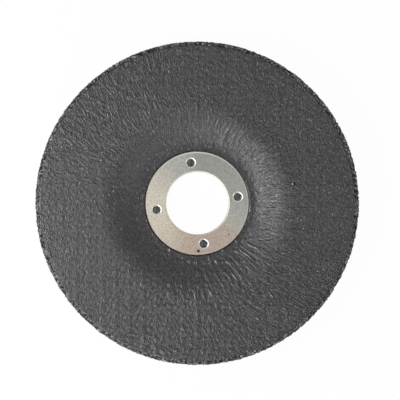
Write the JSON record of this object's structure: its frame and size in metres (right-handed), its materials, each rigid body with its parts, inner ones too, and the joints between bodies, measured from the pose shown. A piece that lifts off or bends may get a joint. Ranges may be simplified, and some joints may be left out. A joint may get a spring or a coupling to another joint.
{
  "type": "depressed-centre cut-off wheel",
  "caption": "Round resin-bonded abrasive wheel with a dished centre, creased black face and a pierced steel centre ring lining its bore.",
  "frame": {"origin": "on the bore's axis, in the plane of the hub's back face, which the wheel rests on", "axes": "+Z along the bore, from the hub's back face towards the working face and the open recess"},
  "size_m": [0.115, 0.115, 0.0077],
  "materials": {
    "abrasive": "matte black tissue over resin-bonded grain, gritty at the rim",
    "ring_steel": "fine straight grain, thin plating with a warm cast"
  },
  "bodies": {
    "root": {"abrasive_disc": "abrasive", "centre_ring": "ring_steel"}
  },
  "joints": []
}
